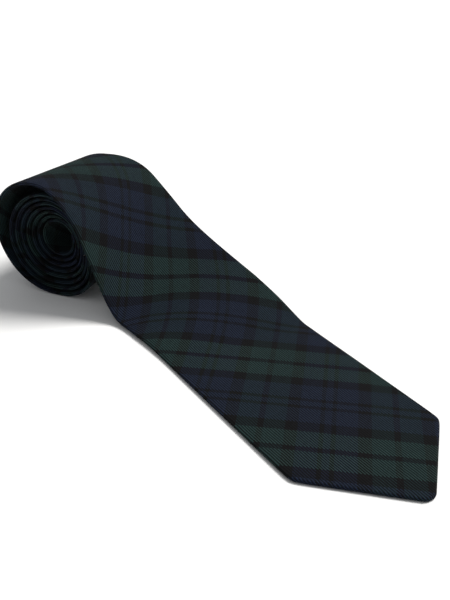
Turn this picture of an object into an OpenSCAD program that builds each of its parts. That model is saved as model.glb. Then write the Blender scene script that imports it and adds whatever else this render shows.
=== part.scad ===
// Four-in-hand necktie, face up: the blade lies flat and the rest is wound into a roll behind it.
// Along the tie, s is the distance from the point of the blade, v is across it and n is up from its back.

/* [Blade] */
// Greatest width of the blade
blade_w = 90; // [70:1:110]
// Length of the point, from its tip to the greatest width
tip_len = 44; // [36:1:54]
// Distance from the tip at which the blade starts to narrow
taper_s = 200; // [190:2:240]
// Distance from the tip at which the tie has narrowed to its neck
neck_s = 640; // [560:10:740]

/* [Neck and tail] */
// Width of the neck
neck_w = 40; // [32:1:48]
// Greatest width of the tail
tail_w = 48; // [40:1:58]
// Length of the tail's point
tail_tip_len = 24; // [18:1:30]
// Whole length of the tie
tie_len = 1450; // [1380:5:1480]
// Distance from the tip to the seam between blade and neck pieces
neck_seam_s = 660; // [600:10:740]
// Distance from the tip to the seam between neck and tail pieces
tail_seam_s = 1010; // [920:10:1100]

/* [Layers] */
// Thickness of the outer cloth
cloth_t = 0.4; // [0.3:0.05:0.5]
// Thickness of the interlining
canvas_t = 1; // [0.8:0.05:1.2]
// Thickness of the lining at the two tips
tipping_t = 0.2; // [0.15:0.05:0.25]
// Play between neighbouring layers
layer_gap = 0.05; // [0.03:0.01:0.08]
// Width of the folded edge of the outer cloth
fold_w = 0.5; // [0.4:0.05:0.7]
// Width of the hem turned back around the point
hem_w = 9; // [7:0.5:11]
// Distance from the tip to the top of the opening in the back
apex_s = 86; // [80:1:88]
// Width of the groove where the two back edges meet
seam_w = 1; // [0.8:0.1:1.4]
// Distance from the tip to the end of the lining
tipping_s = 95; // [94:0.5:98]

/* [Joints] */
// Distance between neighbouring bending lines, from the tip
panel_len = 50; // [49:0.5:51]
// Gap between two panels of the blade
hinge_gap = 0.4; // [0.3:0.1:0.6]

/* [Roll] */
// Distance from the tip to where the middle of the tie leaves the table
touch_s = 186; // [180:1:200]
// Radius of the curve by which the tie rises
lift_r = 81.5; // [68:0.5:98]
// Slope at which the tie runs onto the roll
lift_angle = 54; // [48:1:60]
// Radius of the hollow in the middle of the roll
core_r = 7.5; // [6:0.5:10]
// Room between neighbouring turns
turn_gap = 1.05; // [0.6:0.05:1.5]
// How far the inner turns have dropped inside the loose outer one
slack = 1.5; // [0.5:0.25:4]
// Angle between two corners of a turn
turn_step = 18; // [15:3:24]
// Distance from the tip to where the tie starts to turn sideways
bend_s = 155; // [152:1:160]
// Sideways turn between the blade and the roll
bend_angle = 32.6; // [20:0.2:40]
// Crosswise slope of the tie midway up to the roll
bank = 0.284; // [0:0.004:0.3]
// Softness with which an edge leaves the table
soft_contact = 5; // [3:0.5:8]
// How far the near edge draws in over the roll's first three quarters of a turn
rim_recess = 8; // [4:0.5:12]
// How much deeper each further turn lies than the one around it
turn_recess = 1.5; // [0:0.1:3]
// How far the loose outer turn stands away at its near rim
flare = 4.2; // [0:0.2:6]

/* [Back details] */
// Width and length of the blank woven label
label_size = [54, 22]; // [18:1:60]
// Distance from the tip to the lower edge of the label
label_s = 228; // [226:1:232]
// Length across of the keeper loop, its width and the room inside it
keeper_size = [48, 12, 1.2]; // [0.8:0.1:56]
// Distance from the tip to the lower edge of the keeper loop
keeper_s = 256; // [254:1:258]
// Width and length of the blank care label
care_size = [20, 14]; // [10:1:26]
// Distance from the tip to the lower edge of the care label
care_s = 272; // [271:1:276]
// Thickness of a label
label_t = 0.35; // [0.25:0.05:0.45]
// Room between the back of the tie and what is sewn on it
sewn_gap = 0.25; // [0.2:0.05:0.4]
// Length and width of a bar tack
tack_size = [6, 1.2]; // [1:0.1:8]
// Distance from the tip to the front bar tack
tack_s = 90; // [89:0.5:92]

/* [Hidden] */

// Levels above the back of the tie
back_top = cloth_t;
tipping_n = back_top + layer_gap;
canvas_n = tipping_n + tipping_t + layer_gap;
front_n = canvas_n + canvas_t + layer_gap;
thick = front_n + cloth_t;

// The three panels end at these distances from the tip
panel_1 = panel_len;
panel_2 = 2 * panel_len;
panel_3 = 3 * panel_len;

half_w = blade_w / 2;
tip_slope = half_w / tip_len;
tip_sine = half_w / sqrt(half_w * half_w + tip_len * tip_len);

// Half width of the tie at distance s from the tip
tail_full_s = tie_len - tail_tip_len;
end_half = 2;
function blend(a, b, u) = a + (b - a) * max(0, min(1, u));
function half(s) =
    s < tip_len ? s * tip_slope :
    s < neck_s ? blend(half_w, neck_w / 2, (s - taper_s) / (neck_s - taper_s)) :
    s < tail_full_s ? blend(neck_w / 2, tail_w / 2, (s - tail_seam_s) / (tail_full_s - tail_seam_s)) :
    blend(tail_w / 2, end_half, (s - tail_full_s) / tail_tip_len);

// ---- flat panels: outlines with both edges drawn in by d ----
function tip_s(d) = d / tip_sine;
function corner_s(d) = tip_s(d) + (half_w - d) / tip_slope;
function side(s, d) = min((s - tip_s(d)) * tip_slope, half_w - d);
function outline(s0, s1, d) =
    s0 <= 0
    ? [[-tip_s(d), 0], [-corner_s(d), side(corner_s(d), d)], [-s1, side(s1, d)],
       [-s1, -side(s1, d)], [-corner_s(d), -side(corner_s(d), d)]]
    : [[-s0, side(s0, d)], [-s1, side(s1, d)], [-s1, -side(s1, d)], [-s0, -side(s0, d)]];

module layer(n, t) {
    translate([frame_x, frame_y, n]) linear_extrude(t) children();
}

// The opening in the back: a kite over the lining and the groove above it
hem_half = (tip_len - tip_s(hem_w)) * tip_slope;
module back_opening() {
    polygon([[-tip_s(hem_w), 0], [-tip_len, hem_half], [-apex_s, 0], [-tip_len, -hem_half]]);
    translate([-panel_3 - hinge_gap, -seam_w / 2])
        square([panel_3 + hinge_gap - apex_s + seam_w, seam_w]);
    tack_outline(layer_gap);
}

module tack_outline(grow) {
    size = [tack_size[1] + 2 * grow, tack_size[0] + 2 * grow];
    translate([-tack_s, 0]) square(size, center = true);
}

// One panel of the outer cloth: the front, the folded edges and the two flaps of the back
module shell_panel(s0, s1) {
    layer(front_n, cloth_t) polygon(outline(s0, s1, 0));
    layer(0, thick) difference() {
        polygon(outline(s0, s1, 0));
        polygon(inner_cut(s0, s1));
    }
    layer(0, cloth_t) difference() {
        polygon(outline(s0, s1, 0));
        back_opening();
    }
}

// The room inside the folded edges, run past the ends of the panel
function inner_cut(s0, s1) = outline(s0 <= 0 ? 0 : s0 - fold_w, s1 + fold_w, fold_w);

inner_play = fold_w + 2 * layer_gap;

// ---- the path of the rolled part: stations [s, x, z, slope] along its back ----
deg = 180 / PI;
turn_pitch = thick + turn_gap;
arc_len = lift_r * lift_angle / deg;
arc_x = -touch_s - lift_r * sin(lift_angle);
arc_z = lift_r * (1 - cos(lift_angle));
function ease(u) = let (w = max(0, min(1, u))) w * w * (3 - 2 * w);

// Inner turns settle in the loose outer one over half a turn from its lowest point
settle_from = lift_angle + 180;
settle_turn = 180;

// Height of the axis of a roll with outer radius r, and length of the straight run up to it
function axis_z(r) = r - turn_pitch * (lift_angle + 180) / 360;
function ramp(r) = (axis_z(r) + (r - thick) * cos(lift_angle) - arc_z) / sin(lift_angle);

// Length of a tie whose roll has outer radius r and the stated hollow
function tie_length(r) =
    let (mid = r - thick / 2,
         turned = (mid - slack - core_r - thick / 2) * 360 / turn_pitch,
         wound = mid * turned - turn_pitch * turned * turned / 720
                 - slack * (turned - settle_from - settle_turn / 2))
    touch_s + arc_len + ramp(r) + wound / deg;
function fitted(low, high, left) =
    let (mid = (low + high) / 2)
    left == 0 ? mid : tie_length(mid) < tie_len ? fitted(mid, high, left - 1) : fitted(low, mid, left - 1);
bisections = 40;
roll_r = fitted(core_r + thick + slack, tie_len / 8, bisections);
back_r = roll_r - thick;
roll_z = axis_z(roll_r);
ramp_len = ramp(roll_r);
roll_x = arc_x - ramp_len * cos(lift_angle) - back_r * sin(lift_angle);
tangent_s = touch_s + arc_len + ramp_len;

function drop(turned) = slack * ease((turned - settle_from) / settle_turn);
function turn_r(turned) = back_r - turn_pitch * turned / 360 - drop(turned);

first_turn = lift_angle - turn_step * floor((lift_angle - 1) / turn_step);
arc_steps = 16;
ramp_steps = 6;
flat_steps = 4;
flat_from = panel_3 + hinge_gap / 2;

function roll_station(turned, s) =
    let (a = lift_angle - turned, r = turn_r(turned))
    [s, roll_x + r * sin(a), roll_z - drop(turned) + r * cos(a), a];

// Distance run between two angles of the roll, along the middle of the tie
function run(t0, t1) = (turn_r((t0 + t1) / 2) + thick / 2) * (t1 - t0) / deg;

rise = concat(
    [for (i = [0 : flat_steps])
        let (s = flat_from + (touch_s - flat_from) * i / flat_steps) [s, -s, 0, 0]],
    [for (i = [1 : arc_steps])
        let (a = lift_angle * i / arc_steps)
        [touch_s + arc_len * i / arc_steps, -touch_s - lift_r * sin(a), lift_r * (1 - cos(a)), a]],
    [for (i = [1 : ramp_steps])
        let (d = ramp_len * i / ramp_steps)
        [touch_s + arc_len + d, arc_x - d * cos(lift_angle), arc_z + d * sin(lift_angle), lift_angle]]);

turns = [for (t = first_turn, before = 0, s = tangent_s + run(0, first_turn); s < tie_len;
              before = t, t = t + turn_step, s = s + run(before, t)) roll_station(t, s)];
path = concat(rise, turns);

// Stations from the last one before s0 to the last one before s1
last = len(path) - 1;
function between(s0, s1) =
    [for (i = [0 : last]) if (path[min(i + 1, last)][0] > s0 && path[i][0] <= s1) path[i]];

// A station at any distance, on the straight line between its neighbours
function near(s) =
    let (i = len([for (p = path) if (p[0] <= s) 1]) - 1, a = path[i], b = path[i + 1])
    a + (b - a) * (s - a[0]) / (b[0] - a[0]);

// ---- the sideways turn and the crosswise slope, laid over the path ----
bend_len = -roll_x - bend_s;
bend_parts = 48;
function heading(u) = bend_angle * ease(u);
run_x = [for (i = 0, c = 0; i <= bend_parts;
              c = c + cos(heading((i + 0.5) / bend_parts)) / bend_parts, i = i + 1) [i / bend_parts, c]];
run_y = [for (i = 0, c = 0; i <= bend_parts;
              c = c + sin(heading((i + 0.5) / bend_parts)) / bend_parts, i = i + 1) [i / bend_parts, c]];

function along(x) = max(0, min(1, (-bend_s - x) / bend_len));
function laid(x, y) =
    let (u = along(x), over = max(-bend_s - x - bend_len, 0), a = heading(u))
    x > -bend_s ? [x, y] :
    [-bend_s - bend_len * lookup(u, run_x) - over * cos(a) - y * sin(a),
     -bend_len * lookup(u, run_y) - over * sin(a) + y * cos(a)];
bank_shape = 1.5;
function banked(x, y) = let (u = along(x)) y * bank * pow(4 * u * (1 - u), bank_shape);

// A height that would be z, eased so that it never goes below the table
contact_run = 40;
function on_table(z, s) =
    let (soft = soft_contact * ease((s - bend_s) / contact_run)) (z + sqrt(z * z + soft * soft)) / 2;

// How far along the roll's axis each turn has slid, and how far the loose outer turn stands away
rim_half = half(tangent_s);
recess_turn = 270;
function slid(p) =
    let (turned = lift_angle - p[3])
    p[0] < tangent_s ? 0
    : half(min(p[0], tail_full_s)) - rim_half + rim_recess * ease(turned / recess_turn)
      + turn_recess * max(0, turned / 360 - 1);
function flared(p, v) =
    let (turned = lift_angle - p[3])
    p[0] < tangent_s || turned > 180 ? 0
    : flare * max(0, min(1, (1 - v / half(p[0])) / 2)) * pow(sin(turned), 2);

// Height of the back: straight across the tie, and never below the table before the roll
function level(p, v) =
    let (h = half(p[0]), low = p[2] + banked(p[1], -h), high = p[2] + banked(p[1], h))
    p[0] < tangent_s ? blend(on_table(low, p[0]), on_table(high, p[0]), (v + h) / (2 * h))
                     : p[2] + banked(p[1], v);

// Point at station p, v across and n up from the back, seen from below the tip
function spot(p, v, n) =
    let (up = n + flared(p, v), y = v + slid(p), flat = laid(p[1] + up * sin(p[3]), y))
    [flat[0], flat[1], level(p, y) + up * cos(p[3])];
function at(p, v, n) = spot(p, v, n) + [frame_x, frame_y, 0];

// The origin is below the middle of the whole tie
edge = [for (p = path) for (e = [-1, 1]) for (n = [0, thick]) spot(p, e * half(p[0]), n)];
frame_x = -min([for (e = edge) e[0]]) / 2;
frame_y = -(min([for (e = edge) e[1]]) + max(concat([half_w], [for (e = edge) e[1]]))) / 2;

// ---- sweeps ----
// Each station's section is one list of outer points and one of inner points, as [v, n] pairs.
// All layers fold along the same diagonals, from the lower v at one station to the higher at the next.
module sweep(stations, outer, inner) {
    k = len(outer[0]);
    m = len(stations);
    points = [for (i = [0 : m - 1]) for (q = concat(outer[i], inner[i])) at(stations[i], q[0], q[1])];
    function id(i, j) = i * 2 * k + j;
    function quad(a, b, c, d) = [[a, b, c], [a, c, d]];
    function wall(a, b, c, d, rising) = rising ? quad(a, b, c, d) : quad(b, c, d, a);
    function rising(row, j) = row[j + 1][0] >= row[j][0];
    walls = [for (i = [0 : m - 2]) each concat(
        [for (j = [0 : k - 2]) each wall(id(i, j), id(i + 1, j), id(i + 1, j + 1), id(i, j + 1),
                                         rising(outer[i], j))],
        [for (j = [0 : k - 2]) each wall(id(i, k + j), id(i, k + j + 1), id(i + 1, k + j + 1),
                                         id(i + 1, k + j), rising(inner[i], j))],
        quad(id(i, 0), id(i, k), id(i + 1, k), id(i + 1, 0)),
        quad(id(i, k - 1), id(i + 1, k - 1), id(i + 1, 2 * k - 1), id(i, 2 * k - 1)))];
    ends = [for (j = [0 : k - 2]) each concat(
        quad(id(0, j), id(0, j + 1), id(0, k + j + 1), id(0, k + j)),
        quad(id(m - 1, j), id(m - 1, k + j), id(m - 1, k + j + 1), id(m - 1, j + 1)))];
    polyhedron(points, concat(walls, ends));
}

// A plain strip between two levels, from v0 to v1 at every station
module strip(stations, n0, n1, v0, v1) {
    sweep(stations, [for (p = stations) [[v0, n1], [v1, n1]]], [for (p = stations) [[v0, n0], [v1, n0]]]);
}

// A layer inside the outer cloth, with corners where the groove's edges lie
module lining(stations, n, t) {
    function section(p, level) =
        let (h = half(p[0]) - inner_play, c = open_half(p[0]))
        [[-h, level], [-c, level], [c, level], [h, level]];
    sweep(stations, [for (p = stations) section(p, n + t)], [for (p = stations) section(p, n)]);
}

// The outer cloth as a flattened tube, open along the groove in its back
tail_open_s = tie_len - 2 * tail_tip_len;
function groove(s) = blend(seam_w / 2, half(tail_full_s) - hem_w,
                           (s - tail_open_s) / tail_tip_len);
function open_half(s) = min(groove(s), half(s) * 0.6);
module tube(s0, s1) {
    stations = between(s0, s1);
    outer = [for (p = stations) let (h = half(p[0]), c = open_half(p[0]))
        [[-c, 0], [-h, 0], [-h, thick], [-c, thick], [c, thick], [h, thick], [h, 0], [c, 0]]];
    inner = [for (p = stations) let (h = half(p[0]) - min(fold_w, half(p[0]) * 0.2), c = open_half(p[0]))
        [[-c, back_top], [-h, back_top], [-h, front_n], [-c, front_n],
         [c, front_n], [h, front_n], [h, back_top], [c, back_top]]];
    sweep(stations, outer, inner);
}

// ---- blade tip panel ----
cloth_color = "#16302b";
canvas_color = "#d8d2c0";
lining_color = "#15171c";
thread_color = "#0c1512";
label_color = "#1b1d22";

module shell_tip() { color(cloth_color) shell_panel(0, panel_1 - hinge_gap / 2); }
module interlining_tip() {
    color(canvas_color) layer(canvas_n, canvas_t)
        polygon(outline(0, panel_1 - hinge_gap / 2, inner_play));
}
module tipping_tip() {
    color(lining_color) layer(tipping_n, tipping_t)
        polygon(outline(0, panel_1 - hinge_gap / 2, inner_play));
}

// ---- middle panel ----
module shell_middle() { color(cloth_color) shell_panel(panel_1 + hinge_gap / 2, panel_2 - hinge_gap / 2); }
module interlining_middle() {
    color(canvas_color) layer(canvas_n, canvas_t)
        polygon(outline(panel_1 + hinge_gap / 2, panel_2 - hinge_gap / 2, inner_play));
}
module tipping_middle() {
    color(lining_color) layer(tipping_n, tipping_t)
        polygon(outline(panel_1 + hinge_gap / 2, tipping_s, inner_play));
}
module bar_tack_front() { color(thread_color) layer(0, cloth_t) tack_outline(0); }

stitch_half = seam_w / 2 - layer_gap;
stitch_t = cloth_t - layer_gap;
module stitch_run(s0, s1) {
    layer(layer_gap, stitch_t) translate([-s1, -stitch_half]) square([s1 - s0, 2 * stitch_half]);
}
module slip_stitch_middle() {
    color(thread_color) stitch_run(tack_s + tack_size[1] / 2 + layer_gap, panel_2 - hinge_gap / 2);
}

// The spare thread left in a loop under the lining, just below the front bar tack
loop_size = [9, 3];
loop_thread = 0.35;
module thread_loop() {
    color(thread_color) layer(layer_gap, loop_thread)
        translate([loop_size[0] / 2 - apex_s + 1, 0]) difference() {
            oval(loop_size[0] / 2, loop_size[1] / 2);
            oval(loop_size[0] / 2 - loop_thread, loop_size[1] / 2 - loop_thread);
        }
}
module oval(a, b) { polygon([for (t = [0 : 15 : 345]) [a * cos(t), b * sin(t)]]); }

// ---- upper panel ----
module shell_upper() { color(cloth_color) shell_panel(panel_2 + hinge_gap / 2, panel_3 - hinge_gap / 2); }
module interlining_upper() {
    color(canvas_color) layer(canvas_n, canvas_t)
        polygon(outline(panel_2 + hinge_gap / 2, panel_3 - hinge_gap / 2, inner_play));
}
module slip_stitch_upper() {
    color(thread_color) stitch_run(panel_2 + hinge_gap / 2, panel_3 - hinge_gap / 2);
}

// ---- roll ----
module shell_blade() { color(cloth_color) tube(flat_from, neck_seam_s); }
module shell_neck() { color(cloth_color) tube(neck_seam_s, tail_seam_s); }
module shell_tail() { color(cloth_color) tube(tail_seam_s, tie_len); }

module interlining_rolled() {
    stations = between(flat_from, tail_full_s);
    color(canvas_color) lining(stations, canvas_n, canvas_t);
}
module slip_stitch_rolled() {
    stations = between(flat_from, tail_open_s - tack_size[0]);
    color(thread_color) strip(stations, layer_gap, cloth_t, -stitch_half, stitch_half);
}
module tipping_tail() {
    stations = between(tail_open_s, tail_full_s);
    color(lining_color) lining(stations, tipping_n, tipping_t);
}
// The rear tack spans the opening where it has just become as wide as the tack
tack_half = tack_size[0] / 2;
tack_rise = (tack_half + layer_gap - seam_w / 2) / (groove(tail_full_s) - seam_w / 2);
tail_tack_s = tail_open_s + tail_tip_len * tack_rise;
module bar_tack_tail() {
    stations = [near(tail_tack_s), near(tail_tack_s + tack_size[1])];
    color(thread_color) strip(stations, layer_gap, cloth_t, -tack_half, tack_half);
}

// ---- pieces sewn to the back, below the rise ----
// They follow the tie's own stations, with one more at each of their ends
end_clear = 0.5;
function spaced(s0, s1) = concat(
    [near(s0)],
    [for (p = path) if (p[0] > s0 + end_clear && p[0] < s1 - end_clear) p],
    [near(s1)]);

module patch(s0, length, width, n0, t) {
    strip(spaced(s0, s0 + length), n0 - t, n0, -width / 2, width / 2);
}
module label() {
    color(label_color) patch(label_s, label_size[1], label_size[0], -sewn_gap, label_t);
}
module care_label() {
    color("#d9d9d4") patch(care_s, care_size[1], care_size[0], -sewn_gap, label_t);
}

corner_len = 2;
tack_t = 0.25;
module tack_at(s0, v0, v1, n0) {
    strip(spaced(s0, s0 + corner_len), n0 - tack_t, n0, v0, v1);
}
module label_stitches() {
    edge_v = label_size[0] / 2;
    color(thread_color)
        for (s = [label_s, label_s + label_size[1] - corner_len])
            for (e = [-1, 1])
                tack_at(s, min(e * edge_v, e * (edge_v - corner_len)),
                        max(e * edge_v, e * (edge_v - corner_len)), -sewn_gap - label_t - layer_gap);
}

keeper_t = 0.6;
module keeper_loop() {
    stations = spaced(keeper_s, keeper_s + keeper_size[1]);
    h = keeper_size[0] / 2;
    room = keeper_size[2];
    low = -sewn_gap - room;
    section_out = [[h, -sewn_gap], [h, low - keeper_t], [-h, low - keeper_t], [-h, -sewn_gap]];
    section_in = [[h - keeper_t, -sewn_gap], [h - keeper_t, low],
                  [keeper_t - h, low], [keeper_t - h, -sewn_gap]];
    color(cloth_color) sweep(stations, [for (p = stations) section_out], [for (p = stations) section_in]);
}
module keeper_stitches() {
    edge_v = keeper_size[0] / 2 + layer_gap;
    color(thread_color)
        for (s = [keeper_s, keeper_s + keeper_size[1] - corner_len])
            for (e = [-1, 1])
                tack_at(s, min(e * edge_v, e * (edge_v + corner_len)),
                        max(e * edge_v, e * (edge_v + corner_len)), -sewn_gap);
}

shell_tip();
interlining_tip();
tipping_tip();
shell_middle();
interlining_middle();
tipping_middle();
bar_tack_front();
slip_stitch_middle();
thread_loop();
shell_upper();
interlining_upper();
slip_stitch_upper();
shell_blade();
shell_neck();
shell_tail();
interlining_rolled();
slip_stitch_rolled();
tipping_tail();
bar_tack_tail();
label();
label_stitches();
keeper_loop();
keeper_stitches();
care_label();
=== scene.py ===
import math

import bpy
import numpy as np
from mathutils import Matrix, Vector


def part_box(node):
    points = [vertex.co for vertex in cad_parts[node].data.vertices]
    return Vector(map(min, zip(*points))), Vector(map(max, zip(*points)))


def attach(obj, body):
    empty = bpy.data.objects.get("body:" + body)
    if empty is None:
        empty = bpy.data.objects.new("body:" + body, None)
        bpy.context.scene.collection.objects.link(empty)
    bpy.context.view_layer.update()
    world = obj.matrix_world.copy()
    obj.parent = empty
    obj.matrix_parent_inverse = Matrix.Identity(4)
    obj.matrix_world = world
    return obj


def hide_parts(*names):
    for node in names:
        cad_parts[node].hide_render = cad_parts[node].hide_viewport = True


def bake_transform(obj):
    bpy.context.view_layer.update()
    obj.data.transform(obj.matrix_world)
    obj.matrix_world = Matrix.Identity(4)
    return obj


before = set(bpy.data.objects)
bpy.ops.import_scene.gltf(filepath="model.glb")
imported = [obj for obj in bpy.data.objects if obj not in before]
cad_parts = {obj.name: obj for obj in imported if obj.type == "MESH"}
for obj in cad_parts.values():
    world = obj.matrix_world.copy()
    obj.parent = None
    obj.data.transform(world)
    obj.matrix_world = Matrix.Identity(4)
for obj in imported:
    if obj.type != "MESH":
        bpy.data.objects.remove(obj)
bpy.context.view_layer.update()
print("frame loaded")

millimetre = 0.001
degree = math.pi / 180
tiny = 1e-12

# The tie's cut, in millimetres. s runs along the tie from its point, v across it from its middle,
# and n up from its back.
cut = {
    "bladeWidth": 90,
    "tipLength": 44,
    "taperStart": 200,      # the blade keeps its width up to here, then narrows to the neck
    "neckStart": 640,
    "neckWidth": 40,
    "tailWidth": 48,
    "tailTipLength": 24,
    "tailEndHalf": 1,       # the tail's point is this blunt
    "tieLength": 1450,
    "neckSeam": 660,
    "tailSeam": 1010,
    "seamGap": 0.2,
    "thick": 2.15,
    "clothThick": 0.4,
    "hem": 9,
    "openingTop": 86,       # where the two back edges meet above the lining
    "slitHalf": 0.3,        # half the gap between the back edges above that
    "slitShare": 0.2,       # and at most this share of the half width
    "openShare": 0.6,       # the tail's opening is at most this share of its half width
    "tipRound": 6.5,        # radius of the point's rounded corner
    "cornerSoftness": 2.2,  # how much the two side corners are eased
    "cornerFrom": 20,
}

# The path that the tie lies along: flat, up a curve and a short ramp, and round the roll.
roll = {
    "touch": 186,           # where the tie leaves the table
    "liftRadius": 81.5,
    "liftAngle": 54,
    "coreRadius": 7.5,
    "turnGap": 1.05,
    "slack": 1.5,           # how far the inner turns have sunk in the loose outer one
    "settleTurn": 180,
    "bendStart": 155,       # from here on the tie turns sideways
    "bendAngle": 32.6,
    "bank": 0.284,          # how steeply it leans on the way up
    "bankShape": 1.5,
    "softContact": 5,       # how gradually an edge leaves the table
    "contactRun": 40,
    "rimRecess": 8,         # how far the near edge draws in over recessTurn
    "recessTurn": 270,
    "turnRecess": 1.5,      # and how much deeper each further turn lies
    "flare": 4.2,           # how far the outer turn's near rim stands away
}


def clamp(x, low=0.0, high=1.0):
    return np.minimum(np.maximum(x, low), high)


def ease(u):
    u = clamp(u)
    return u * u * (3 - 2 * u)


def softLess(a, b, softness):   # the lesser of two, with a rounded change from one to the other
    return (a + b - np.sqrt((a - b) ** 2 + softness ** 2)) / 2


wide = cut["bladeWidth"] / 2
tipSlope = wide / cut["tipLength"]
tipSine = wide / math.hypot(wide, cut["tipLength"])
roundCentre = cut["tipRound"] / tipSine
pointStart = roundCentre - cut["tipRound"]
pointEnd = roundCentre - cut["tipRound"] * tipSine
tailFull = cut["tieLength"] - cut["tailTipLength"]
tailOpen = cut["tieLength"] - 2 * cut["tailTipLength"]


def halfWidth(s):
    s = np.asarray(s, float)
    point = np.where(s < pointEnd,
                     np.sqrt(np.maximum(cut["tipRound"] ** 2 - (roundCentre - s) ** 2, 0)),
                     s * tipSlope)
    head = softLess(point, wide, np.where(s < cut["cornerFrom"], 0, cut["cornerSoftness"]))
    share = clamp((s - cut["taperStart"]) / (cut["neckStart"] - cut["taperStart"]))
    neck = wide + (cut["neckWidth"] / 2 - wide) * share
    share = clamp((s - cut["tailSeam"]) / (tailFull - cut["tailSeam"]))
    tail = cut["neckWidth"] / 2 + (cut["tailWidth"] - cut["neckWidth"]) / 2 * share
    end = (cut["tailWidth"] / 2 * (cut["tieLength"] - s) / cut["tailTipLength"]
           + cut["tailEndHalf"])
    return np.where(s < cut["taperStart"], head,
                    np.where(s < cut["neckStart"], neck, np.minimum(tail, end)))


def openHalf(s):        # half the opening between the two back edges
    s = np.asarray(s, float)
    point = (s - cut["hem"] / tipSine) * tipSlope
    top = ((cut["openingTop"] - s) * (wide - cut["hem"] / tipSine)
           / (cut["openingTop"] - cut["tipLength"]))
    tail = (s - tailOpen) / cut["tailTipLength"] * (cut["tailWidth"] / 2 - cut["hem"])
    tail = np.minimum(tail, halfWidth(s) * cut["openShare"])
    opening = np.where(s < cut["neckSeam"], np.minimum(point, top), tail)
    return np.maximum(opening, np.minimum(cut["slitHalf"], halfWidth(s) * cut["slitShare"]))


turnPitch = cut["thick"] + roll["turnGap"]
liftAngle = roll["liftAngle"] * degree
bendAngle = roll["bendAngle"] * degree
arcLength = roll["liftRadius"] * liftAngle
arcX = -roll["touch"] - roll["liftRadius"] * math.sin(liftAngle)
arcZ = roll["liftRadius"] * (1 - math.cos(liftAngle))
settleFrom = roll["liftAngle"] + 180    # the inner turns lie apart from the outer one from here


def axisHeight(radius):     # the outer turn is spiral, and its lowest place touches the table
    return radius - turnPitch * settleFrom / 360


def rampLength(radius):
    rise = axisHeight(radius) + (radius - cut["thick"]) * math.cos(liftAngle) - arcZ
    return rise / math.sin(liftAngle)


def woundLength(radius):
    middle = radius - cut["thick"] / 2
    turned = (middle - roll["slack"] - roll["coreRadius"] - cut["thick"] / 2) * 360 / turnPitch
    wound = (middle * turned - turnPitch * turned * turned / 720
             - roll["slack"] * (turned - settleFrom - roll["settleTurn"] / 2))
    return roll["touch"] + arcLength + rampLength(radius) + wound * degree


def fittedRadius():     # the outer radius that takes up the whole tie
    low, high = 2 * roll["coreRadius"], 20 * roll["coreRadius"]
    for halving in range(50):
        middle = (low + high) / 2
        low, high = (middle, high) if woundLength(middle) < cut["tieLength"] else (low, middle)
    return low


rollRadius = fittedRadius()
backRadius = rollRadius - cut["thick"]
rollZ = axisHeight(rollRadius)
rampRun = rampLength(rollRadius)
rollX = arcX - rampRun * math.cos(liftAngle) - backRadius * math.sin(liftAngle)
tangentS = roll["touch"] + arcLength + rampRun      # the ramp meets the roll here
bendLength = -rollX - roll["bendStart"]
rimHalf = float(halfWidth(tangentS))
print("roll", round(rollRadius, 2), "mm, tangent at", round(tangentS, 1))


def dropAt(turned):
    return roll["slack"] * ease((turned - settleFrom) / roll["settleTurn"])


def turnRadius(turned):
    return backRadius - turnPitch * turned / 360 - dropAt(turned)


# how far the tie runs for each angle turned, up to where the roll would close
turnStep = 2.0
turnTable = np.arange(0, 6000, turnStep)
turnMiddles = turnRadius(turnTable[:-1] + turnStep / 2) + cut["thick"] / 2
turnRun = np.concatenate([[0], np.cumsum(turnMiddles * turnStep * degree)])
turnTable = turnTable[:np.argmax(turnRun)]
turnRun = turnRun[:len(turnTable)]


def pathAt(s):          # x and z of the back, and its slope
    s = np.asarray(s, float)
    onArc = clamp((s - roll["touch"]) / arcLength) * liftAngle
    onRamp = clamp(s - roll["touch"] - arcLength, 0, rampRun)
    x = (-np.minimum(s, roll["touch"]) - roll["liftRadius"] * np.sin(onArc)
         - onRamp * math.cos(liftAngle))
    z = roll["liftRadius"] * (1 - np.cos(onArc)) + onRamp * math.sin(liftAngle)
    turned = np.interp(s - tangentS, turnRun, turnTable)
    slope = liftAngle - turned * degree
    r = turnRadius(turned)
    wound = s > tangentS
    x = np.where(wound, rollX + r * np.sin(slope), x)
    z = np.where(wound, rollZ - dropAt(turned) + r * np.cos(slope), z)
    return x, z, np.where(wound, slope, onArc)


def runningArea(values):    # the area under evenly spaced values, up to each of them
    return np.concatenate([[0], np.cumsum((values[1:] + values[:-1]) / 2)]) / (len(values) - 1)


turnShare = np.linspace(0, 1, 401)
heading = bendAngle * ease(turnShare)
runX = runningArea(np.cos(heading))
runY = runningArea(np.sin(heading))

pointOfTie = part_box("shell_tip")
originX = pointOfTie[1].x
originY = (pointOfTie[0].y + pointOfTie[1].y) / 2


def banked(x, v):
    u = clamp((-roll["bendStart"] - x) / bendLength)
    return v * roll["bank"] * (4 * u * (1 - u)) ** roll["bankShape"]


def onTable(z, s):
    soft = roll["softContact"] * ease((s - roll["bendStart"]) / roll["contactRun"])
    return (z + np.sqrt(z * z + soft * soft)) / 2


def windShift(s, slope):    # how far along the roll's axis each turn has slid
    turned = liftAngle - slope
    recess = (roll["rimRecess"] * ease(turned / (roll["recessTurn"] * degree))
              + roll["turnRecess"] * np.maximum(turned / (2 * math.pi) - 1, 0))
    return np.where(s < tangentS, 0, halfWidth(np.minimum(s, tailFull)) - rimHalf + recess)


def flareAt(s, v, slope, h):    # the loose outer turn stands away, most at its near rim
    turned = clamp(liftAngle - slope, 0, math.pi)
    return np.where(s < tangentS, 0, roll["flare"] * clamp((1 - v / h) / 2) * np.sin(turned) ** 2)


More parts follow.
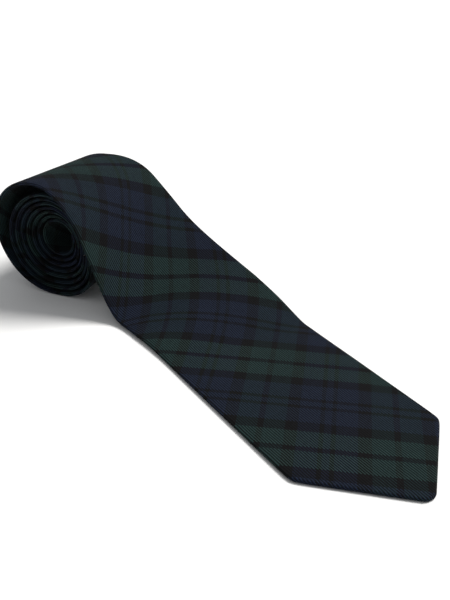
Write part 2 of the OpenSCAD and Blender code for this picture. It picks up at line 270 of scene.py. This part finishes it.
def place(s, v, n):     # points in the shared frame, in metres
    s, v, n = np.broadcast_arrays(np.asarray(s, float), np.asarray(v, float), np.asarray(n, float))
    x, z, slope = pathAt(s)
    h = np.maximum(halfWidth(s), 0.1)
    n = n + flareAt(s, v, slope, h)
    v = v + windShift(s, slope)
    low, high = onTable(z + banked(x, -h), s), onTable(z + banked(x, h), s)
    level = np.where(s < tangentS, low + (high - low) * clamp((v + h) / (2 * h)), z + banked(x, v))
    along = x + n * np.sin(slope)
    u = clamp((-roll["bendStart"] - along) / bendLength)
    over = np.maximum(-roll["bendStart"] - along - bendLength, 0)
    a = bendAngle * ease(u)
    far = -roll["bendStart"] - bendLength * np.interp(u, turnShare, runX) - over * np.cos(a)
    side = -bendLength * np.interp(u, turnShare, runY) - over * np.sin(a)
    turned = along < -roll["bendStart"]
    x = np.where(turned, far - v * np.sin(a), along)
    y = np.where(turned, side + v * np.cos(a), v)
    return np.stack([x * millimetre + originX, y * millimetre + originY,
                     (level + n * np.cos(slope)) * millimetre], -1)


def makeMesh(name, points, faces, layers=None, sharpAngle=50):
    mesh = bpy.data.meshes.new(name)
    mesh.from_pydata(points.reshape(-1, 3).tolist(), [], faces)
    mesh.validate()
    for layer, values in (layers or {}).items():
        mesh.attributes.new(layer, "FLOAT", "POINT").data.foreach_set(
            "value", np.asarray(values, np.float32).ravel())
    mesh.polygons.foreach_set("use_smooth", [True] * len(mesh.polygons))
    mesh.set_sharp_from_angle(angle=sharpAngle * degree)
    piece = bpy.data.objects.new(name, mesh)
    bpy.context.scene.collection.objects.link(piece)
    return piece


def ringFaces(rings, k):    # a tube of rings with k points each, closed between its walls at both ends
    half = k // 2
    faces = []
    for i in range(rings - 1):
        for j in range(k):
            a, b = i * k + j, i * k + (j + 1) % k
            faces.append((a, b, b + k, a + k))
    for i, flip in ((0, True), (rings - 1, False)):
        for j in range(half - 1):
            quad = (i * k + j, i * k + j + 1, i * k + k - 2 - j, i * k + k - 1 - j)
            faces.append(quad[::-1] if flip else quad)
    return faces


def stationsBetween(start, stop, step, extra=()):
    count = max(2, round((stop - start) / step) + 1)
    return np.unique(np.round(np.concatenate([np.linspace(start, stop, count),
                                              [e for e in extra if start <= e <= stop]]), 3))


fold = {
    "depth": 1.7,           # how far in from the edge the fold starts to turn
    "depthShare": 0.45,     # and at most this share of the half width
    "innerLeast": 0.05,     # the inner wall turns round at least this far from the fold's middle
    "crown": 0.22,          # how much the front swells across a blade that lies flat
    "crownHalf": 20,        # half width from which it swells fully
    "crownEnd": (180, 60),  # where the swelling starts to fade, and over how long
    "pointThins": 1.1,      # the point is pressed thin over this length
    "thinnest": 0.02,
}


def clothSection(s, inset, spans):
    # one wall of the folded cloth at each station: v, n, and w, the distance across the cloth
    h = halfWidth(s)[:, None]
    opening = openHalf(s)[:, None]
    depth = np.minimum(fold["depth"], h * fold["depthShare"])
    middle = cut["thick"] / 2
    foldAcross = np.maximum(depth - inset, fold["innerLeast"])
    foldUp = middle - inset
    flat = h - depth
    turn = np.linspace(-90, 90, spans["fold"] + 1)[1:-1] * degree
    front = np.linspace(-1, 1, spans["front"])
    bend = math.pi / 2 * (depth + middle)
    flap = flat + (opening - flat) * (1 - np.linspace(0, 1, spans["flap"]))
    right = np.concatenate([flap, flat + foldAcross * np.cos(turn)], 1)
    rightN = np.concatenate([np.full_like(flap, inset), middle + foldUp * np.sin(turn) + 0 * flat], 1)
    rightW = np.concatenate([flat + bend + flat - flap,
                             flat + bend * (90 * degree - turn) / math.pi], 1)
    fadeFrom, fadeOver = fold["crownEnd"]
    crown = (fold["crown"] * clamp(h / fold["crownHalf"])
             * (1 - ease((s[:, None] - fadeFrom) / fadeOver)))
    frontV = flat * front
    frontN = cut["thick"] - inset + crown * (1 - front ** 4) + 0 * flat
    v = np.concatenate([-right, frontV, right[:, ::-1]], 1)
    n = np.concatenate([rightN, frontN, rightN[:, ::-1]], 1)
    w = np.concatenate([-rightW, frontV, rightW[:, ::-1]], 1)
    fromPoint = clamp((s - pointStart) / fold["pointThins"])
    pressed = np.sqrt(np.maximum(1 - (1 - fromPoint) ** 2, fold["thinnest"]))[:, None]
    return v, middle + (n - middle) * pressed, w


# the slight unevenness of cloth that has been worn and laid down
ripples = {
    "height": 0.05,
    "waves": ((1, 0.041, 0.035, 0.6), (1, 0.083, -0.061, 2.1),  # strength, along, across, phase
              (0.6, 0.157, 0.12, 4.0), (0.5, -0.05, 0.21, 1.0)),
    "end": (300, 60),       # where it starts to fade, and over how long
    "above": 1.0,           # the back stays flat below this height
}


def rippled(s, v, n):   # the height n, uneven towards the front
    wave = sum(strength * np.sin(s * along + v * across + phase)
               for strength, along, across, phase in ripples["waves"])
    fadeFrom, fadeOver = ripples["end"]
    share = clamp((n - ripples["above"]) / (cut["thick"] - ripples["above"]))
    return n + ripples["height"] * wave * (1 - ease((s - fadeFrom) / fadeOver)) * share


def foldedCloth(name, start, stop, step, spans, extra=()):
    s = stationsBetween(start, stop, step, extra)
    outer = clothSection(s, 0, spans)
    inner = clothSection(s, cut["clothThick"], spans)
    v, n, w = (np.concatenate([a, b[:, ::-1]], 1) for a, b in zip(outer, inner))
    along = np.repeat(s[:, None], v.shape[1], 1)
    points = place(along, v, rippled(along, v, n))
    return makeMesh(name, points, ringFaces(len(s), v.shape[1]), {"clothS": along, "clothW": w})


def layerSheet(name, s, half, levels, columns):     # a flat layer inside the cloth
    low, high = levels
    v = half(s)[:, None] * np.linspace(-1, 1, columns)
    v = np.concatenate([v, v[:, ::-1]], 1)
    n = np.concatenate([np.full((len(s), columns), high), np.full((len(s), columns), low)], 1)
    along = np.repeat(s[:, None], v.shape[1], 1)
    points = place(along, v, rippled(along, v, n))
    return makeMesh(name, points, ringFaces(len(s), v.shape[1]), {"clothS": along, "clothW": v})


def unitRows(vectors):
    return vectors / np.maximum(np.linalg.norm(vectors, axis=1), tiny)[:, None]


def threads(name, runs, radius, sides=6):       # runs of thread, each a list of (s, v, n)
    points, faces, lengths, turns = [], [], [], []
    angle = np.arange(sides) * 2 * math.pi / sides
    for run in runs:
        run = np.asarray(run, float)
        line = place(run[:, 0], run[:, 1], run[:, 2])
        up = place(run[:, 0], run[:, 1], run[:, 2] + 1) - line
        ahead = np.gradient(line, axis=0)
        side = unitRows(np.cross(ahead, up))
        other = unitRows(np.cross(side, ahead))
        ring = (side[:, None] * np.cos(angle)[None, :, None]
                + other[:, None] * np.sin(angle)[None, :, None]) * radius * millimetre
        base = len(points)
        points.extend((line[:, None] + ring).reshape(-1, 3))
        length = np.concatenate([[0], np.cumsum(np.linalg.norm(np.diff(line, axis=0), axis=1))])
        lengths.extend(np.repeat(length / millimetre, sides))
        turns.extend(np.tile(angle, len(line)))
        for i in range(len(line) - 1):
            for j in range(sides):
                a, b = base + i * sides + j, base + i * sides + (j + 1) % sides
                faces.append((a, b, b + sides, a + sides))
        faces.append(tuple(base + j for j in range(sides))[::-1])
        faces.append(tuple(base + (len(line) - 1) * sides + j for j in range(sides)))
    return makeMesh(name, np.array(points), faces, {"threadAt": lengths, "threadTurn": turns}, 80)


class Signal:           # a socket that takes part in arithmetic
    def __init__(self, finish, socket):
        self.finish = finish
        self.socket = socket

    def math(self, operation, *others):
        return self.finish.node("ShaderNodeMath", {"operation": operation},
                                dict(enumerate((self, *others))))

    def __add__(self, other):
        return self.math("ADD", other)

    __radd__ = __add__

    def __sub__(self, other):
        return self.math("SUBTRACT", other)

    def __rsub__(self, other):
        return self.math("MULTIPLY_ADD", -1, other)

    def __mul__(self, other):
        return self.math("MULTIPLY", other)

    __rmul__ = __mul__

    def __truediv__(self, other):
        return self.math("DIVIDE", other)

    def __lt__(self, other):
        return self.math("LESS_THAN", other)

    def __gt__(self, other):
        return self.math("GREATER_THAN", other)

    def floor(self):
        return self.math("FLOOR")

    def fraction(self):
        return self.math("FRACT")

    def sine(self):
        return self.math("SINE")

    def cosine(self):
        return self.math("COSINE")


class Finish:           # a material under construction
    def __init__(self, name):
        self.material = bpy.data.materials.new(name)
        self.material.use_nodes = True
        self.nodes = self.material.node_tree.nodes
        self.nodes.clear()

    def node(self, kind, settings=None, values=None, output=0):
        made = self.nodes.new(kind)
        for setting, value in (settings or {}).items():
            if setting == "stops":
                ramp = made.color_ramp
                while len(ramp.elements) < len(value):
                    ramp.elements.new(1)
                for element, (position, color) in zip(ramp.elements, value):
                    element.position = position
                    element.color = (*color, 1)
            elif setting == "interpolation":
                made.color_ramp.interpolation = value
            else:
                setattr(made, setting, value)
        for socket, value in (values or {}).items():
            target = made.inputs[socket]
            if isinstance(value, Signal):
                self.material.node_tree.links.new(value.socket, target)
            elif isinstance(value, (tuple, list)) and len(value) == 3 and target.type == "RGBA":
                target.default_value = (*value, 1)
            else:
                target.default_value = value
        return Signal(self, made.outputs[output]) if made.outputs else None

    def layer(self, name):
        return self.node("ShaderNodeAttribute", {"attribute_name": name}, {}, "Fac")

    def mix(self, factor, first, second, blend="MIX"):
        return self.node("ShaderNodeMix", {"data_type": "RGBA", "blend_type": blend},
                         {"Factor": factor, 6: first, 7: second}, 2)

    def noise(self, vector, scale, detail=2.0, roughness=0.5):
        return self.node("ShaderNodeTexNoise", {},
                         {"Vector": vector, "Scale": scale, "Detail": detail,
                          "Roughness": roughness}, "Fac")

    def point(self, x, y, z=0.0):
        return self.node("ShaderNodeCombineXYZ", {}, {0: x, 1: y, 2: z})

    def shaded(self, color, tone):      # a colour made darker or lighter by a number
        return self.mix(1.0, color, self.point(tone, tone, tone), "MULTIPLY")

    def bump(self, height, strength, distance):
        return self.node("ShaderNodeBump", {}, {"Strength": strength, "Distance": distance,
                                                "Height": height})

    def surface(self, **values):
        shader = self.node("ShaderNodeBsdfPrincipled", {},
                           {k.replace("_", " "): v for k, v in values.items()})
        self.node("ShaderNodeOutputMaterial", {}, {"Surface": shader})
        return self.material


# Each of its two sets of threads has its own lean from the tie's crosswise line, and its own
# repeat in mm.
tartan = {
    "threads": 150,             # threads in one full check
    "sett": (("black", 3), ("green", 24), ("black", 15), ("blue", 24), ("black", 5), ("blue", 8),
             ("black", 5), ("blue", 24), ("black", 15), ("green", 24), ("black", 3)),
    "crossing": (130.5, 3.6),   # s and v where two lines down the middle of the green bands cross
    # The weft's green and blue are set up to about twice as bright as the warp's: painted sheen, for
    # the light the weft threads catch along their length.
    "warp": {"lean": 50.3, "repeat": 65.5, "black": (0.0042, 0.0044, 0.0052),
             "green": (0.0072, 0.0158, 0.0180), "blue": (0.0068, 0.0098, 0.0210)},
    "weft": {"lean": 41.5, "repeat": 74.2, "black": (0.0046, 0.0046, 0.0050),
             "green": (0.0165, 0.0330, 0.0300), "blue": (0.0108, 0.0158, 0.0290)},
    "wander": 1.6,              # how many threads' widths a thread wanders, from side to side
    "shade": {"least": 0.15, "thread": 0.5, "fibre": 0.9, "cloud": 0.3},
    "thread": (0.15, 1.1),      # painted shade: brightness between the threads; painted highlight: how much more along their tops
    "ridgeShade": 1.1,               # how strongly painted light on the twill's diagonal ridges and painted shade in the valleys between them show
    "relief": (0.8, 0.00016),   # the bump's strength, and its height in metres
}


def settStops(colors):
    stops, passed = [], 0
    for name, count in tartan["sett"]:
        stops.append((passed / tartan["threads"], colors[name]))
        passed += count
    return stops


def tartanWool(name, shiftAlong=0.0, shiftAcross=0.0):
    finish = Finish(name)
    warp, weft, shade = tartan["warp"], tartan["weft"], tartan["shade"]
    s0, v0 = tartan["crossing"]
    s = finish.layer("clothS") - (s0 + shiftAlong)
    w = finish.layer("clothW") - (v0 + shiftAcross)
    warpLean, weftLean = warp["lean"] * degree, weft["lean"] * degree
    warpPitch, weftPitch = warp["repeat"] / tartan["threads"], weft["repeat"] / tartan["threads"]
    warpAt = w * (math.sin(warpLean) / warpPitch) - s * (math.cos(warpLean) / warpPitch)
    weftAt = w * (-math.sin(weftLean) / weftPitch) - s * (math.cos(weftLean) / weftPitch)
    grain = finish.point(s * 0.05, w * 0.05)
    warpAt = warpAt + (finish.noise(grain, 2.2, 3) - 0.5) * tartan["wander"]
    weftAt = weftAt + (finish.noise(grain, 2.9, 3) - 0.5) * tartan["wander"]
    warpThread, weftThread = warpAt.floor(), weftAt.floor()
    # the weft's ramp carries the painted sheen set in its colours
    warpColor, weftColor = (
        finish.node("ShaderNodeValToRGB",
                    {"interpolation": "CONSTANT", "stops": settStops(colors)},
                    {0: ((thread + 0.5) / tartan["threads"]).fraction()})
        for colors, thread in ((warp, warpThread), (weft, weftThread)))
    # two over, two under, one thread further on each time, so step is 0, 1/4, 1/2 or 3/4
    step = ((warpThread - weftThread) / 4).fraction()
    warpOver = step < 0.4
    color = finish.mix(warpOver, weftColor, warpColor)
    threadShade = finish.noise(finish.point(warpThread * 0.37, weftThread * 0.11), 1.0, 2)
    fibre = finish.noise(finish.point(warpAt, weftAt), 0.9, 4, 0.7)
    cloud = finish.noise(finish.point(s * 0.02, w * 0.02), 1.3, 3)
    tone = (threadShade * shade["thread"] + fibre * shade["fibre"] + cloud * shade["cloud"]
            + shade["least"])
    warpTop = ((warpAt.fraction() - 0.5) * math.pi).cosine()    # 1 along the middle of a thread
    weftTop = ((weftAt.fraction() - 0.5) * math.pi).cosine()
    top = warpOver * warpTop + (1 - warpOver) * weftTop
    shadeBetween, rise = tartan["thread"]
    # painted light on the twill's diagonal ridges and painted shade in the valleys between them
    ridgeShade = ((step - 0.375) * (2 * math.pi)).cosine() * tartan["ridgeShade"] + 1
    # painted highlight along the threads' tops and painted shade between them
    tone = tone * (top * rise + shadeBetween) * ridgeShade
    relief = finish.bump(top * 0.7 + fibre * 0.5, *tartan["relief"])
    return finish.surface(Base_Color=finish.shaded(color, tone), Roughness=0.86, Normal=relief,
                          Sheen_Weight=0.012, Sheen_Roughness=0.4, Specular_IOR_Level=0.08)


# The other cloths and threads. A count is threads to the millimetre, and colours run from dark to
# light.
canvasWool = {"count": 2.2, "dark": (0.36, 0.32, 0.24), "light": (0.74, 0.69, 0.57)}
satin = {"count": 4.0, "dark": (0.006, 0.007, 0.009), "light": (0.016, 0.018, 0.022)}
labelWeave = {"count": 5.0, "shift": 0.4}
sewing = {"twist": 6.0, "plies": 2.0}


def canvasCloth():      # plain weave, a little fuzzy
    finish = Finish("canvasCloth")
    s, w = finish.layer("clothS"), finish.layer("clothW")
    across, along = w * canvasWool["count"], s * canvasWool["count"]
    over = (across.floor() + along.floor()).math("PINGPONG", 1)
    thread = (over * (across.fraction() * math.pi).sine()
              + (1 - over) * (along.fraction() * math.pi).sine())
    fuzz = finish.noise(finish.point(s, w), 1.6, 4, 0.7)
    color = finish.mix(thread * 0.35 + fuzz * 0.8, canvasWool["dark"], canvasWool["light"])
    return finish.surface(Base_Color=color, Roughness=0.95, Specular_IOR_Level=0.2,
                          Normal=finish.bump(thread + fuzz, 0.6, 0.0002), Sheen_Weight=0.15)


def liningSatin():
    finish = Finish("liningSatin")
    s, w = finish.layer("clothS"), finish.layer("clothW")
    warp = ((w * satin["count"]).fraction() * math.pi).sine()
    streak = finish.noise(finish.point(w * 1.5, s * 0.06), 1.0, 3)
    color = finish.mix(streak, satin["dark"], satin["light"])
    return finish.surface(Base_Color=color, Roughness=0.32 + streak * 0.12,
                          Normal=finish.bump(warp + streak, 0.35, 0.0001),
                          Specular_IOR_Level=0.55, Sheen_Weight=0.05)


def wovenLabel(name, ground, figure, border):
    # a blank label: satin ground with a plain line woven round it, at border mm from its edges
    finish = Finish(name)
    s, w = finish.layer("clothS"), finish.layer("clothW")
    inner = finish.layer("labelU").math("MINIMUM", finish.layer("labelT"))
    line = (inner > border[0]) * (inner < border[1])
    across, along = w * labelWeave["count"], s * labelWeave["count"]
    rib = (across.fraction() * math.pi).sine()
    pick = ((along + across.floor() * labelWeave["shift"]).fraction() * math.pi).sine()
    worn = finish.noise(finish.point(s, w), 0.9, 3)
    tone = rib * 0.15 + pick * 0.15 + worn * 0.3 + 0.6
    return finish.surface(Base_Color=finish.shaded(finish.mix(line, ground, figure), tone),
                          Roughness=0.42 + worn * 0.15,
                          Normal=finish.bump(rib + pick + line, 0.4, 0.0001),
                          Specular_IOR_Level=0.45)


def spunThread(name, dark, light):
    finish = Finish(name)
    wind = finish.layer("threadAt") * sewing["twist"] + finish.layer("threadTurn") * sewing["plies"]
    ply = wind.sine() * 0.5 + 0.5
    return finish.surface(Base_Color=finish.mix(ply, dark, light), Roughness=0.55 + ply * 0.1,
                          Normal=finish.bump(ply, 0.5, 0.00005), Specular_IOR_Level=0.4)


studio = {
    "focal": 50.84,             # mm, on a 36 mm long side
    "azimuth": 58.6,
    "elevation": 27.4,
    "distance": 0.5306,
    "aim": (-209.2, 22.1),      # where the view is centred, in mm from the tie's point
    "world": 0.38,
    "worldColor": (0.97, 0.985, 1, 1),
    "sun": 3.7,
    "sunColor": (1, 0.985, 0.96),
    "sunSize": 30,              # degrees, a wide soft source
    "sunFrom": (0.75, 0.35, 1.0),   # right, away and up, as the camera sees it
    "floor": 0.93,
    "floorHalf": 6,             # metres
    "floorDrop": 0.0002,        # the floor lies just below the tie
}


def makeCamera():
    data = bpy.data.cameras.new("camera")
    data.sensor_fit = "AUTO"
    data.sensor_width = 36
    data.lens = studio["focal"]
    data.clip_start, data.clip_end = 0.01, 50
    camera = bpy.data.objects.new("camera", data)
    a, e = studio["azimuth"] * degree, studio["elevation"] * degree
    back = Vector((math.sin(a) * math.cos(e), -math.cos(a) * math.cos(e), math.sin(e)))
    aim = Vector((originX + studio["aim"][0] * millimetre,
                  originY + studio["aim"][1] * millimetre, 0))
    camera.location = aim + back * studio["distance"]
    camera.rotation_mode = "QUATERNION"
    camera.rotation_quaternion = (-back).to_track_quat("-Z", "Y")
    bpy.context.scene.collection.objects.link(camera)
    bpy.context.scene.camera = camera


def makeLights():
    scene = bpy.context.scene
    scene.view_settings.view_transform = "Standard"
    world = bpy.data.worlds.new("studio")
    scene.world = world
    world.use_nodes = True
    background = world.node_tree.nodes["Background"]
    background.inputs["Color"].default_value = studio["worldColor"]
    background.inputs["Strength"].default_value = studio["world"]
    light = bpy.data.lights.new("softSun", "SUN")
    light.energy = studio["sun"]
    light.angle = studio["sunSize"] * degree
    light.color = studio["sunColor"]
    sun = bpy.data.objects.new("softSun", light)
    a = studio["azimuth"] * degree
    right = Vector((math.cos(a), math.sin(a), 0))
    away = Vector((-math.sin(a), math.cos(a), 0))
    x, y, z = studio["sunFrom"]
    sun.rotation_mode = "QUATERNION"
    sun.rotation_quaternion = (right * x + away * y + Vector((0, 0, z))).to_track_quat("Z", "Y")
    scene.collection.objects.link(sun)


def makeFloor():
    size = studio["floorHalf"]
    corners = [(-size, -size, 0), (size, -size, 0), (size, size, 0), (-size, size, 0)]
    floor = makeMesh("floor", np.array(corners, float), [(0, 1, 2, 3)])
    floor.location.z = -studio["floorDrop"]
    finish = Finish("paperFloor")
    shade = finish.noise(finish.node("ShaderNodeTexCoord", {}, {}, "Object"), 0.6)
    tone = shade * 0.02 + (studio["floor"] - 0.01)
    floor.data.materials.append(finish.surface(
        Base_Color=finish.point(tone, tone, tone), Roughness=0.9, Specular_IOR_Level=0.1))


makeCamera()
makeLights()
makeFloor()
print("studio ready")

# The outer cloth: three pieces of cloth sewn end to end. The first passes over three bends, so it
# is made in three parts that meet between them.
bladeWool = tartanWool("tartanWool")
neckWool = tartanWool("tartanWoolNeck", 31.0, 12.0)
tailWool = tartanWool("tartanWoolTail", 9.0, 27.0)

bends = {               # each hinge's distance from the point, and the bodies that it joins
    "upper": {"at": 150, "bodies": ("roll", "upper_panel")},
    "middle": {"at": 100, "bodies": ("upper_panel", "middle_panel")},
    "tip": {"at": 50, "bodies": ("middle_panel", "tip_panel")},
}
bendReach = 28          # how far on from its hinge a bend's end point lies
splits = {"middle": 110, "tip": 60}     # where the cloth passes from one bend's part to the next


def bendWith(piece, bend):
    start = (originX - bends[bend]["at"] * millimetre, originY, 0)
    end = (start[0] + bendReach * millimetre, originY, 0)
    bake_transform(piece)


def settle(piece, finish, nodes, bend=None):  # the piece's finish and nodes, and its bend if any; without one it goes on the roll's body
    piece.data.materials.append(finish)
    if bend:
        bendWith(piece, bend)
    else:
        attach(piece, "roll")
    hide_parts(*nodes)
    return piece


def cutArea(start, stop, samples=400):      # flat area of the folded cloth's cut, in square metres
    s = np.linspace(start, stop, samples)
    across = 4 * halfWidth(s) - 2 * openHalf(s)
    return float(runningArea(across)[-1]) * (stop - start) * millimetre ** 2


fine = {"flap": 8, "fold": 8, "front": 19}
coarse = {"flap": 5, "fold": 6, "front": 13}
firstStation = pointStart + 0.02
pointSteps = pointStart + np.array([0.02, 0.12, 0.35, 0.7, 1.1, 1.7, 2.5, 3.4, 4.5])
cornerSteps = cut["tipLength"] + np.array([-3, -2, -1.3, -0.7, 0, 0.6, 1.2, 2, 3])
neckSeam, tailSeam, gap = cut["neckSeam"], cut["tailSeam"], cut["seamGap"]

clothPieces = (
    ("outer_cloth_tip", firstStation, splits["tip"], 2.5, fine, "tip", ("shell_tip",), bladeWool),
    ("outer_cloth_middle", splits["tip"], splits["middle"], 2.5, fine, "middle",
     ("shell_middle",), bladeWool),
    ("outer_cloth_blade", splits["middle"], neckSeam - gap, 2.5, fine, "upper",
     ("shell_upper", "shell_blade"), bladeWool),
    ("outer_cloth_neck", neckSeam + gap, tailSeam - gap, 2.5, coarse, None,
     ("shell_neck",), neckWool),
    ("outer_cloth_tail", tailSeam + gap, cut["tieLength"] - 1, 2, coarse, None,
     ("shell_tail",), tailWool),
)
for name, start, stop, step, spans, bend, nodes, wool in clothPieces:
    piece = foldedCloth(name, start, stop, step, spans, [*pointSteps, *cornerSteps])
    settle(piece, wool, nodes, bend)
    width = 4 * float(np.max(halfWidth(np.linspace(start, stop, 200)))) * millimetre
    (stop - start) * millimetre
    cutArea(start, stop)
print("outer cloth folded")

# The layers inside the outer cloth, each with the heights between which it lies.
layers = {
    "lining": (0.45, 0.65),
    "canvas": (0.70, 1.70),
    "inset": 0.85,          # how far they stay in from the tie's edges
    "start": 2.6,           # and from its point
    "end": 2,               # and the canvas from the tail's point
    "liningEnd": 95,        # the lining runs under the back edges up to here
    "tailLining": 4,        # and this far under them in the tail
    "columns": 9,
}


def insideHalf(s):
    return halfWidth(s) - layers["inset"]


def asSheet(s, half):
    widest = 2 * float(np.max(half(s))) * millimetre
    area = float(np.sum((half(s)[1:] + half(s)[:-1]) * np.diff(s))) * millimetre ** 2


canvas = canvasCloth()
lining = liningSatin()
inside = pointStart + layers["start"]
layerPieces = (
    ("canvas_tip", inside, splits["tip"], 2.5, "canvas", canvas, "tip", ("interlining_tip",)),
    ("canvas_middle", splits["tip"], splits["middle"], 2.5, "canvas", canvas, "middle",
     ("interlining_middle",)),
    ("canvas_rolled", splits["middle"], tailFull - layers["end"], 3, "canvas", canvas, "upper",
     ("interlining_upper", "interlining_rolled")),
    ("lining_tip", inside, splits["tip"], 2.5, "lining", lining, "tip", ("tipping_tip",)),
    ("lining_middle", splits["tip"], layers["liningEnd"], 2.5, "lining", lining, "middle",
     ("tipping_middle",)),
    ("lining_tail", tailOpen - layers["tailLining"], tailFull, 2, "lining", lining, None,
     ("tipping_tail",)),
)
for name, start, stop, step, level, finish, bend, nodes in layerPieces:
    s = stationsBetween(start, stop, step)
    piece = layerSheet(name, s, insideHalf, layers[level], layers["columns"])
    settle(piece, finish, nodes, bend)
    asSheet(s, insideHalf)
print("inner layers laid")

stitching = {
    "tack": (90, 6, 1.2),       # distance from the point, length across, width
    "tailTack": (tailOpen + 3.2, 6, 1.2),
    "tackPasses": 26,
    "tackThread": 0.16,         # radii of the threads
    "slip": 0.13,
    "label": 0.14,
    "slipEnds": (92, 176, tailOpen - 2),    # where it starts, goes on to the roll, and ends
    "slipPitch": 5,
    "slipSwing": 0.62,          # it crosses the slit from side to side
    "slipHeights": (0.14, 0.18),
    "loop": (81.5, 9, 3),       # distance from the point, length, width
    "loopHeights": (0.22, 0.05),
    "loopOpen": 0.05,           # radians left open at its root
}
darkThread = spunThread("darkThread", (0.006, 0.012, 0.011), (0.02, 0.035, 0.032))
labelThread = spunThread("labelThread", (0.02, 0.02, 0.022), (0.06, 0.06, 0.065))


def slipRun(start, stop):       # the long thread that closes the back, seen as a ladder in the seam
    s = np.arange(start, stop, 0.6)
    swing = np.sin((s - cut["openingTop"]) * 2 * math.pi / stitching["slipPitch"])
    low, rise = stitching["slipHeights"]
    return np.stack([s, stitching["slipSwing"] * swing, low + rise * swing ** 2], 1)


def tackRun(where, length, width):      # thread wound over and over, close together
    passes = stitching["tackPasses"]
    under, over, middle = 0.22, -0.02, -0.1
    run = []
    for i in range(passes + 1):
        v = length * (i / passes - 0.5)
        edge = width / 2 * (1 if i % 2 else -1)
        run.append((where + edge, v, under))
        if i < passes:
            run.append((where + edge * 0.8, v + 0.03, over))
            run.append((where, v + length / passes / 2, middle))
    return np.array(run)


def loopRun(where, length, width):      # the thread's spare end, left in a loop
    angle = np.linspace(stitching["loopOpen"], 2 * math.pi - stitching["loopOpen"], 40)
    low, rise = stitching["loopHeights"]
    return np.stack([where + length / 2 * np.cos(angle), width / 2 * np.sin(angle),
                     low + rise * np.sin(2 * angle)], 1)


slipStart, slipRoll, slipEnd = stitching["slipEnds"]
threadPieces = (
    ("slip_thread_middle", slipRun(slipStart, splits["middle"]), "slip",
     "slip_stitch_middle", "middle"),
    ("slip_thread_upper", slipRun(splits["middle"], slipRoll), "slip",
     "slip_stitch_upper", "upper"),
    ("slip_thread_rolled", slipRun(slipRoll, slipEnd), "slip", "slip_stitch_rolled", None),
    ("tack_front", tackRun(*stitching["tack"]), "tackThread", "bar_tack_front", "middle"),
    ("tack_tail", tackRun(*stitching["tailTack"]), "tackThread", "bar_tack_tail", None),
    ("spare_thread", loopRun(*stitching["loop"]), "tackThread", "thread_loop", "middle"),
)
for name, run, size, node, bend in threadPieces:
    settle(threads(name, [run], stitching[size]), darkThread, (node,), bend)
print("stitched")

# What is sewn to the back, each with its near end's distance from the point. A size is width, then
# length along the tie.
sewn = {
    "gap": 0.25,
    "label": {"at": 228, "size": (54, 22), "thick": 0.35, "rise": 0.15},
    "care": {"at": 272, "size": (20, 14), "thick": 0.3, "rise": 0.1},
    "keeper": {"at": 256, "size": (48, 12), "room": 1.2, "thick": 0.6, "turnIn": 2},
}
labelColors = {"ground": (0.012, 0.013, 0.018), "figure": (0.16, 0.16, 0.17), "border": (1.6, 2.2)}
careColors = {"ground": (0.72, 0.72, 0.70), "figure": (0.55, 0.55, 0.54), "border": (0.8, 1.1)}


def patch(name, spec):  # a small label that lies on the back, its middle a little proud
    width, length = spec["size"]
    u, t = np.meshgrid(np.linspace(-1, 1, 25), np.linspace(0, 1, 13))
    s, v = spec["at"] + length * t, width / 2 * u
    top = -sewn["gap"] - spec["rise"] * (1 - u ** 4) * (1 - (2 * t - 1) ** 4)
    rows, k = u.shape
    s2, v2 = (np.concatenate([a, a[:, ::-1]], 1) for a in (s, v))
    n2 = np.concatenate([top, top[:, ::-1] - spec["thick"]], 1)
    edgeU = width / 2 - np.abs(v2)
    edgeT = np.minimum(s2 - spec["at"], spec["at"] + length - s2)
    piece = makeMesh(name, place(s2, v2, n2), ringFaces(rows, 2 * k),
                     {"clothS": s2, "clothW": v2, "labelU": edgeU, "labelT": edgeT})
    return piece


settle(patch("woven_label", sewn["label"]), wovenLabel("labelSatin", **labelColors),
       ("label",))
settle(patch("care_tag", sewn["care"]), wovenLabel("careSatin", **careColors),
       ("care_label",))


def cornerStitches(spec, thick, inward):    # three short stitches over each corner
    width, length = spec["size"]
    first, pitch, outward = 0.7, 0.9, 0.9
    low = -sewn["gap"] - thick - 0.1
    runs = []
    for end in (0, 1):
        for side in (-1, 1):
            for i in range(3):
                inset = first + pitch * i
                s = spec["at"] + (length - inset if end else inset)
                v = side * width / 2
                runs.append([(s, v + side * outward, -0.05), (s + 0.1, v + side * 0.5, low * 0.7),
                             (s + 0.2, v - side * inward * 0.5, low),
                             (s + 0.3, v - side * inward, low + 0.2)])
    return runs


settle(threads("label_thread", cornerStitches(sewn["label"], sewn["label"]["thick"], 1.6),
               stitching["label"]), labelThread, ("label_stitches",))
settle(threads("keeper_thread", cornerStitches(sewn["keeper"], 0.2, 0.7), stitching["label"]),
       darkThread, ("keeper_stitches",))


def keeperBand():       # a folded strip of the same cloth, standing off the back between its ends
    spec = sewn["keeper"]
    width, length = spec["size"]
    angle = np.linspace(0, math.pi, 45)
    arch = np.sin(angle) ** 0.4
    s = spec["at"] + length * np.array([0, 0.02, 0.06, 0.3, 0.5, 0.7, 0.94, 0.98, 1])
    pinch = np.array([0.25, 0.12, 0, 0, 0, 0, 0, 0.12, 0.25])[:, None]     # its edges are rounded
    outerV = width / 2 * np.sign(np.cos(angle)) * np.abs(np.cos(angle)) ** 0.7 + 0 * pinch
    innerV = outerV * (1 - 2 * spec["thick"] / width)
    outerN = -sewn["gap"] - (spec["room"] + spec["thick"] - pinch) * arch
    innerN = -sewn["gap"] - (spec["room"] + pinch) * arch
    v = np.concatenate([outerV, innerV[:, ::-1]], 1)
    n = np.concatenate([outerN, innerN[:, ::-1]], 1)
    along = np.repeat(s[:, None], v.shape[1], 1)
    piece = makeMesh("keeper_band", place(along, v, n), ringFaces(len(s), v.shape[1]),
                     {"clothS": along, "clothW": v})
    return piece


settle(keeperBand(), tartanWool("keeperWool", 20.0, 5.0), ("keeper_loop",))
print("labels and keeper sewn on")
